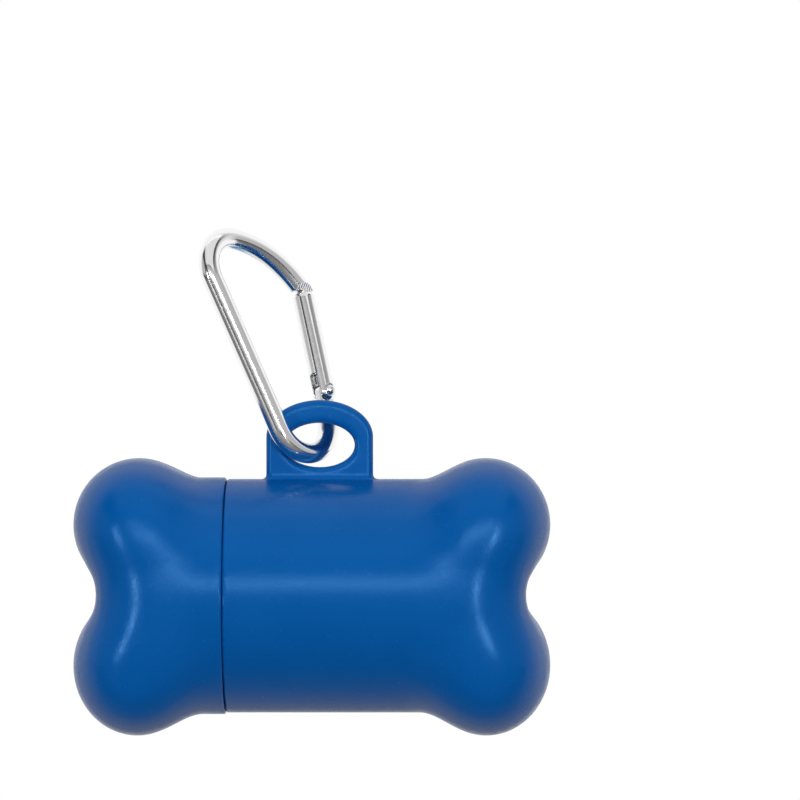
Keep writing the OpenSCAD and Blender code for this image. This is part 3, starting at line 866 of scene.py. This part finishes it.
# %% Fold and crease the film
def fold(t):
    """A zigzag between -1 and 1 with slightly rounded corners."""
    return np.arcsin(0.97 * np.sin(t)) / np.arcsin(0.97)


rng = np.random.default_rng(21)
# Fine creases: waves per mm, slant, start and height.
creases = [
    (rng.uniform(0.35, 1.3), rng.uniform(0, math.pi), rng.uniform(0, 6.28), rng.uniform(0.25, 0.6))
    for _ in range(14)]


def pleated(v, h, left, right, pleats):
    """How far across each point lies, and how far it is lifted, where film is folded back."""
    wide = right - left
    x = left + wide * v
    lift = 0 * x
    for at, middle, (heights, halves) in pleats:
        half = np.interp(h, heights, halves) * np.clip(wide / NECK_WIDE, 0, 1.3)
        shift = np.clip(middle, left + 2.5, right - 2.5) - (left + wide * at)
        t = (v - at) / BAND_SHARE
        inside = np.clip(t, -1, 1)
        to_edge = np.where(t < 0, at, 1 - at) / BAND_SHARE - 1
        fade = np.clip(1 - (np.abs(t) - 1) / to_edge, 0, 1)
        x = x + (shift - half * inside - wide * BAND_SHARE * inside) * fade
        deep = 0.18 + 0.22 * np.clip(h / 30, 0, 1)
        lift = lift - np.clip(half + 1, 0, 1) * np.clip(1.6 * inside, -1, 1) * fade ** 3 * deep
    return x, lift


def film_points(rows, across, layer):
    """One layer of the bag in rows from the roll to the hem, in mm from the bone's middle."""
    u = np.linspace(0, 1, rows)[:, None]
    v = np.linspace(0, 1, across)[None, :]
    h = -INSIDE + (FAR + np.interp(v, *HEM[layer]) + INSIDE) * u ** 1.15
    out = np.maximum(h, 0) / FAR
    left, right = np.interp(h, *LEFT), np.interp(h, *RIGHT)
    x, lift = pleated(v, h, left, right, PLEATS[layer])
    # Two broad waves across, deeper towards the hem.
    depth = 0.1 + 1.1 * np.minimum(1, (h + INSIDE) / INSIDE) + 4.0 * out
    big = depth * np.cos(np.radians(760 * v + 40 * out)) * (0.6 + 0.4 * np.sin(np.radians(220 * v)))
    # Small pleats, which start where the film has left the roll.
    gather = np.clip((h + INSIDE - 4) / 12, 0, 1)
    turns = 8.5 * v + 0.25 * np.sin(5 * u + 9 * v)
    pleat = (0.45 + 0.25 * out) * fold(2 * np.pi * turns) * gather
    # Creases at every slant, strongest at the hem.
    fine = sum(
        high * fold(k * (x * math.cos(slant) + h * math.sin(slant)) + start)
        for k, slant, start, high in creases) * np.clip(out * 2.2, 0, 1) * 0.16
    # The two layers part towards the hem and meet at both edges.
    sway = 0.55 + 0.45 * np.cos(7 * v + 4 * out)
    apart = layer * (0.12 + 1.5 * out * np.sin(np.pi * v) ** 0.5 * sway)
    edge = np.sin(np.pi * v) ** 0.25
    # Inside the bone the film slants up to the roll; behind the opening it sags.
    y = MOUTH_Y + np.where(h < 0, 0.76 * h, h)
    hang = 0.5 + np.where(h < 0, -0.65 * h, 9 * out - 16 * out ** 2)
    z = hang + big + (pleat + fine + apart + lift) * edge
    return np.stack(np.broadcast_arrays(x, y, z), axis=-1)


# %% Close the loop of film
ROWS, ACROSS = 200, 190
front = film_points(ROWS, ACROSS, FRONT)
back = film_points(ROWS, ACROSS, BACK)[:, ::-1][:, 1:-1]
loop = np.concatenate([front, back], axis=1)
n = loop.shape[1]
i, k = np.meshgrid(np.arange(ROWS - 1), np.arange(n), indexing="ij")
m = (k + 1) % n
quads = np.stack([i * n + k, (i + 1) * n + k, (i + 1) * n + m, i * n + m], axis=-1).reshape(-1, 4)
bag_skin = make_piece("drawn_bag_film", to_frame(loop.reshape(-1, 3)), quads, film.material)
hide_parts("drawn_bag")
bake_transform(bag_skin)

# %% [markdown]
# ## The studio
# The picture has a plain white ground. The world is white where the camera looks at it, and
# also behind the bone for mirrors and clear film. As a light it is a grey room: bright from the
# horizon up, dim near the ceiling and dark near the ground, where only the back wall is still
# lit. A narrow dark slot on the left draws grey bands along the polished rod. The floor lies
# under the hanging bone and fades into white towards its rim, for the camera, and behind the
# bone also for mirrors and clear film.

# %% Floor
FLOOR_Z, FLOOR_R = -130.0, 0.9


def make_floor():
    """A flat disc of paper under the bone."""
    rings, around = 24, 96
    radii = np.linspace(0, FLOOR_R, rings + 1)[1:]
    ang = np.linspace(0, 2 * np.pi, around, endpoint=False)
    pts = [np.array([[0, 0, 0]])]
    for r in radii:
        pts.append(np.stack([r * np.cos(ang), r * np.sin(ang), 0 * ang], axis=1))
    pts = np.concatenate(pts) + to_frame([0, 0, FLOOR_Z])
    quads = [[0, 1 + k, 1 + (k + 1) % around] for k in range(around)]
    for r in range(rings - 1):
        a = 1 + r * around
        for k in range(around):
            m = (k + 1) % around
            quads.append([a + k, a + around + k, a + around + m, a + m])
    mesh = bpy.data.meshes.new("floor")
    mesh.from_pydata([tuple(p) for p in pts], [], quads)
    obj = bpy.data.objects.new("floor", mesh)
    bpy.context.scene.collection.objects.link(obj)
    return obj


floor = make_floor()
print("floor:", len(floor.data.polygons), "faces")

# %% White paper
paper = Look("floor_paper", (0.3, 0.3, 0.303), 0.7)
paper.bump(paper.noise(2.5, 3.0), 0.02)
from_middle = paper.nodes.new("ShaderNodeVectorMath")
from_middle.operation = "LENGTH"
paper.links.new(paper.mm, from_middle.inputs[0])
fade = paper.spread(from_middle.outputs["Value"], 0.75, 1.0, 180, 420)
ray = paper.nodes.new("ShaderNodeLightPath")
mirrored = paper.maths("MAXIMUM", ray.outputs["Is Glossy Ray"], ray.outputs["Is Transmission Ray"])
mirrored = paper.maths("MULTIPLY", mirrored, paper.spread(paper.axis(1), 0.0, 1.0, -60, 40))
seen = paper.maths("MAXIMUM", ray.outputs["Is Camera Ray"], mirrored)
white = paper.nodes.new("ShaderNodeEmission")
white.inputs["Color"].default_value = (1, 1, 1, 1)
surface = paper.coat(paper.maths("MULTIPLY", fade, seen), paper.shader.outputs[0], white.outputs[0])
paper.links.new(surface, paper.output.inputs["Surface"])
floor.data.materials.append(paper.material)
print("finish:", paper.material.name)

# %% World
world = bpy.data.worlds.new("studio_room")
bpy.context.scene.world = world
world.use_nodes = True
wn, wl = world.node_tree.nodes, world.node_tree.links
wn.clear()


def world_node(kind, *values, operation=None):
    """A node of the world, with values or other nodes' outputs for its first sockets."""
    node = wn.new(kind)
    if operation:
        node.operation = operation
    for socket, value in zip(node.inputs, values):
        if isinstance(value, bpy.types.NodeSocket):
            wl.new(value, socket)
        else:
            socket.default_value = value
    return node


def ramp(value, start, end, low, high):
    """Go from low to high while the value goes from start to end."""
    return world_node("ShaderNodeMapRange", value, start, end, low, high).outputs[0]


def combine(operation, a, b):
    """The product or the larger of two values."""
    return world_node("ShaderNodeMath", a, b, operation=operation).outputs[0]


direction = world_node("ShaderNodeTexCoord").outputs["Generated"]
aside, back, up = world_node("ShaderNodeSeparateXYZ", direction).outputs
behind = ramp(back, -0.05, 0.25, 0.0, 1.0)
over_floor = ramp(up, -0.16, -0.02, 0.01, 0.5)
under_ceiling = ramp(up, 0.42, 0.6, 1.0, 0.12)
right_of_slot = ramp(aside, -0.5, -0.4, 0.1, 1.0)
left_of_slot = ramp(aside, -0.86, -0.8, 1.0, 0.1)
beside_slot = combine("MAXIMUM", right_of_slot, left_of_slot)
walls = combine("MULTIPLY", combine("MULTIPLY", over_floor, under_ceiling), beside_slot)
back_wall = combine("MULTIPLY", behind, ramp(up, 0.3, 0.75, 0.5, 0.0))
room_light = combine("MAXIMUM", walls, back_wall)
ray = world_node("ShaderNodeLightPath").outputs
mirrored = combine("MAXIMUM", ray["Is Glossy Ray"], ray["Is Transmission Ray"])
see_white = combine("MAXIMUM", combine("MULTIPLY", mirrored, behind), ray["Is Camera Ray"])
room = world_node("ShaderNodeBackground", (1, 1, 1.01, 1), room_light)
ground = world_node("ShaderNodeBackground", (1, 1, 1, 1), 1.0)
mixed = world_node("ShaderNodeMixShader", see_white, room.outputs[0], ground.outputs[0])
world_node("ShaderNodeOutputWorld", mixed.outputs[0])
print("world:", len(wn), "nodes")


# %% Lamps
def softbox(name, place_mm, aim_mm, size, power):
    """A rectangular lamp of the given size in metres, turned to face a point."""
    data = bpy.data.lights.new(name, "AREA")
    data.shape = "RECTANGLE"
    data.size, data.size_y = size
    data.energy = power
    lamp = bpy.data.objects.new(name, data)
    place, aim = to_frame(place_mm), to_frame(aim_mm)
    lamp.location = place
    lamp.rotation_euler = Vector(aim - place).to_track_quat("-Z", "Y").to_euler()
    bpy.context.scene.collection.objects.link(lamp)


softbox("front_softbox", (0, -900, 225), (0, 0, 0), (0.6, 0.12), 1.9)
softbox("right_strip", (400, -800, 60), (30, 0, 0), (0.045, 0.2), 1.25)
softbox("left_strip", (-600, -680, 30), (-30, 0, 0), (0.05, 0.2), 1.25)
softbox("top_softbox", (0, -300, 700), (0, 0, 0), (1.2, 0.9), 2.45)
